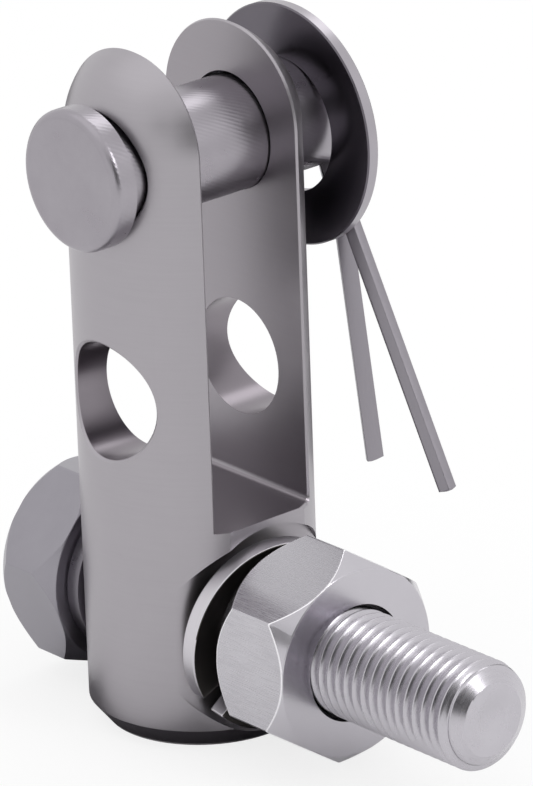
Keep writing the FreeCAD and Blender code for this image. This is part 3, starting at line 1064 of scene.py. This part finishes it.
@dataclass
class Nut:
    """Double-chamfered hex nut with a countersunk bore.

    Lengths are in millimetres, and the turn is in degrees. The leans are shares of a face's
    normal along X.
    """

    axis_height: float
    start: float
    end: float
    turn: float = 26.0
    bore: float = 9.6
    mouth: float = 10.29
    mouth_depth: float = 1.3
    ridge: float = 0.6
    flat_lean: float = 0.06
    chamfer_lean: float = 0.52
    face_lean: float = 0.9

    def build(
        self, finish: bpy.types.Material, face_finish: bpy.types.Material,
        ridge_finish: bpy.types.Material, bore_finish: bpy.types.Material,
    ) -> bpy.types.Object:
        """Make the nut as one mesh. How far a face leans along X tells its finish.

        Args:
            finish: Material of the nut's flats.
            face_finish: Material of its end faces and chamfers.
            ridge_finish: Material of the ridges between chamfers and flats, painted near white as
                a highlight.
            bore_finish: Material of the bore, painted dark as shade in the gap round the thread.

        Returns:
            The nut's object.
        """
        form = HexForm(
            low=self.start, high=self.end, axis_height=self.axis_height, turn=self.turn,
            inner_low=self.mouth, inner_high=self.mouth, ridge=self.ridge,
        )
        bore = turned_rows(
            [(self.start, self.mouth), (self.start + self.mouth_depth, self.bore),
             (self.end - self.mouth_depth, self.bore), (self.end, self.mouth)],
            self.axis_height,
        )
        axis = Vector((0.0, 0.0, self.axis_height * MM))

        def in_bore(centre: Vector, normal: Vector) -> bool:
            """Whether a face belongs to the bore or its mouth."""
            near = (centre - axis).yz.length < self.mouth * MM
            return near and abs(normal.x) < self.face_lean

        def on_ridge(centre: Vector, normal: Vector) -> bool:
            """Whether a face belongs to the rounded ridge above the flats."""
            return self.flat_lean < abs(normal.x) < self.chamfer_lean

        nut = skinned("hex_nut_steel", [(form.rows(), True), (bore, True)], finish)
        refinish(nut, face_finish, lambda centre, normal: abs(normal.x) > self.chamfer_lean)
        refinish(nut, ridge_finish, on_ridge)
        refinish(nut, bore_finish, in_bore)
        return nut


@dataclass
class SplitPin:
    """One flattened wire bent double round an eye, with two splayed legs.

    Lengths are in millimetres, the turn and the splays in degrees. The path runs in a plane
    across the clevis pin. Each point is a place to the side of the pin's axis and a height
    above it.
    """

    axis_height: float
    across: float
    radius: float = 1.8
    turn: float = 19.3
    seam: float = 0.1
    bend: float = 7.0
    left_straight: float = 20.0
    left_splay: float = 10.4
    left_leg: float = 41.4
    right_straight: float = 9.9
    right_splay: float = 8.9
    right_leg: float = 58.2
    eye: float = 1.8
    neck: float = 2.3
    neck_start: float = 9.8
    end_bulge: float = 0.35
    end_inset: float = 0.3
    bend_steps: int = 8
    eye_steps: int = 28

    def side(self, straight: float, splay: float, leg: float) -> list[tuple[float, float]]:
        """Points down one side of the wire, from the neck's start to the leg's tip.

        Args:
            straight: Length of the straight stretch below the pin's axis.
            splay: Angle of the leg in degrees.
            leg: Length of the splayed leg.

        Returns:
            Pairs of distance to the side and height.
        """
        lean = math.radians(splay)
        points = [(self.seam, self.neck_start), (self.seam, -straight)]
        for step in range(1, self.bend_steps + 1):
            angle = lean * step / self.bend_steps
            points.append((
                self.seam + self.bend * (1.0 - math.cos(angle)),
                -straight - self.bend * math.sin(angle),
            ))
        foot = points[-1]
        points.append((foot[0] + leg * math.sin(lean), foot[1] - leg * math.cos(lean)))
        return points

    def eye_points(self) -> list[tuple[float, float]]:
        """Points over the neck and round the eye, from the right side to the left one.

        Returns:
            Pairs of distance to the side and height.
        """
        reach = self.neck + self.eye
        rise = math.sqrt(reach ** 2 - (self.seam + self.neck) ** 2)
        lean = math.atan2(rise, self.seam + self.neck)
        points = []
        for step in range(self.bend_steps):
            angle = math.pi - lean * step / self.bend_steps
            points.append((
                self.seam + self.neck + self.neck * math.cos(angle),
                self.neck_start + self.neck * math.sin(angle),
            ))
        for step in range(self.eye_steps + 1):
            angle = -lean + (math.pi + 2.0 * lean) * step / self.eye_steps
            points.append((
                self.eye * math.cos(angle), self.neck_start + rise + self.eye * math.sin(angle),
            ))
        return points + [(-side, height) for side, height in reversed(points[:self.bend_steps])]

    def section(self) -> list[tuple[float, float]]:
        """Flattened half-round section of the wire.

        Returns:
            Pairs of place across the wire and thickness, both in radii.
        """
        half = [(0.965, 0.1), (0.93, 0.22), (0.5, 0.86), (0.42, 0.93)]
        return (
            [(-1.0, 0.0)] + [(-side, rise) for side, rise in half]
            + [(side, rise) for side, rise in reversed(half)] + [(1.0, 0.0)]
        )

    def end_cap(self, end: Row, outward: Vector) -> list[Row]:
        """Rows that close the wire at a cut end.

        Args:
            end: Full section at the end.
            outward: Direction out of the wire, in the path's plane.

        Returns:
            The cap's middle and a smaller section round it.
        """
        middle = sum(end, Vector()) / len(end)
        step = outward.normalized() * self.end_bulge * MM
        bulge = Vector((step.x, 0.0, step.y))
        small = [middle + (spot - middle) * self.end_inset + bulge for spot in end]
        return [[middle + bulge] * len(end), small]

    def build(self, finish: bpy.types.Material) -> bpy.types.Object:
        """Sweep the section along the wire.

        Args:
            finish: Material of the wire.

        Returns:
            The split pin's object.
        """
        right = self.side(self.right_straight, self.right_splay, self.right_leg)
        left = self.side(self.left_straight, self.left_splay, self.left_leg)
        points = right[:0:-1] + self.eye_points()
        points += [(-side, height) for side, height in left[1:]]
        lean = Matrix.Rotation(math.radians(self.turn), 2)
        path = [lean @ Vector(point) for point in points]
        rows = []
        for index, point in enumerate(path):
            ahead = path[min(index + 1, len(path) - 1)] - point
            behind = point - path[max(index - 1, 0)]
            along = (ahead.normalized() + behind.normalized()).normalized()
            outward = Vector((along.y, -along.x))
            row = []
            for across, rise in self.section():
                spot = point + outward * rise * self.radius
                row.append(Vector((
                    spot.x, self.across + across * self.radius, self.axis_height + spot.y,
                )) * MM)
            rows.append(row)
        first = self.end_cap(rows[0], path[0] - path[1])
        last = self.end_cap(rows[-1], path[-1] - path[-2])
        rows = first + rows + last[::-1]
        return skinned("split_pin_wire", [(rows, True)], finish)


def span(node: str, axis: int = 0) -> tuple[float, float]:
    """Where a frame node starts and ends along an axis.

    Args:
        node: Name of the node.
        axis: 0, 1 or 2 for X, Y or Z.

    Returns:
        Its lowest and highest place in millimetres, to a thousandth.
    """
    low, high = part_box(node)
    return round(low[axis] / MM, 3), round(high[axis] / MM, 3)


def joint_height(name: str) -> float:
    """Height of a frame joint's axis in millimetres, to a thousandth."""
    joint = next(joint for joint in frame["joints"] if joint["name"] == name)
    return round(joint["pos_m"][2] / MM, 3)


def show(name: str, piece: bpy.types.Object) -> None:
    """Report one finished piece."""
    LOG.info("%s: %d faces", name, len(piece.data.polygons))


def stand_in(piece: bpy.types.Object, node: str, body: str) -> None:
    """Put a modelled piece in a frame node's stead.

    Args:
        piece: The modelled piece.
        node: Node that it stands for.
        body: Body that it rides on.
    """
    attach(piece, body)
    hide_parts(node)
    show(node, piece)


def dress(node: str, finish: SteelFinish) -> None:
    """Give a frame node its finish.

    Args:
        node: Name of the node.
        finish: Finish that replaces its own.
    """
    piece = frame["nodes"][node]
    piece.data.materials.clear()
    piece.data.materials.append(finish.build())
    show(node, piece)


def main() -> None:
    """Build the studio and dress every piece."""
    logging.basicConfig(level=logging.INFO, format="%(message)s")
    Studio().build()
    Camera().build()
    for node, finish in (
        ("clevis_body", MILLED_BAR), ("clevis_pin", TURNED_PIN),
        ("pin_washer", PUNCHED_SHEET), ("bolt_washer", TUMBLED_SHEET),
    ):
        dress(node, finish)
    bolt_height = joint_height("swivel")
    head_top, reach = span("hex_bolt")
    bolt = Bolt(bolt_height, head_top, span("bolt_washer")[0], reach)
    head = bolt.build_head(FORGED_HEAD.build())
    stand_in(head, "hex_bolt", "bolt_group")
    thread = bolt.build_thread(ROLLED_THREAD.build())
    stand_in(thread, "hex_bolt", "bolt_group")
    # The nut's ridges carry a painted highlight, and its bore painted shade.
    nut = Nut(bolt_height, *span("hex_nut")).build(
        BRUSHED_NUT.build(), TURNED_FACE.build(), RIDGE_PAINTED_HIGHLIGHT.build(), BORE_PAINTED_SHADE.build(),
    )
    stand_in(nut, "hex_nut", "nut_group")
    # The ring's band carries painted light, and its sides painted shade.
    ring = SpringWasher().build(SPRING_BAND_PAINTED_LIGHT.build(), SPRING_SIDE_PAINTED_SHADE.build())
    stand_in(ring, "lock_washer", "spring_group")
    wire_middle = sum(span("split_pin", 1)) / 2.0
    wire = SplitPin(joint_height("pin_slide"), wire_middle).build(DRAWN_WIRE.build())
    stand_in(wire, "split_pin", "pin_group")


if __name__ == "__main__":
    main()
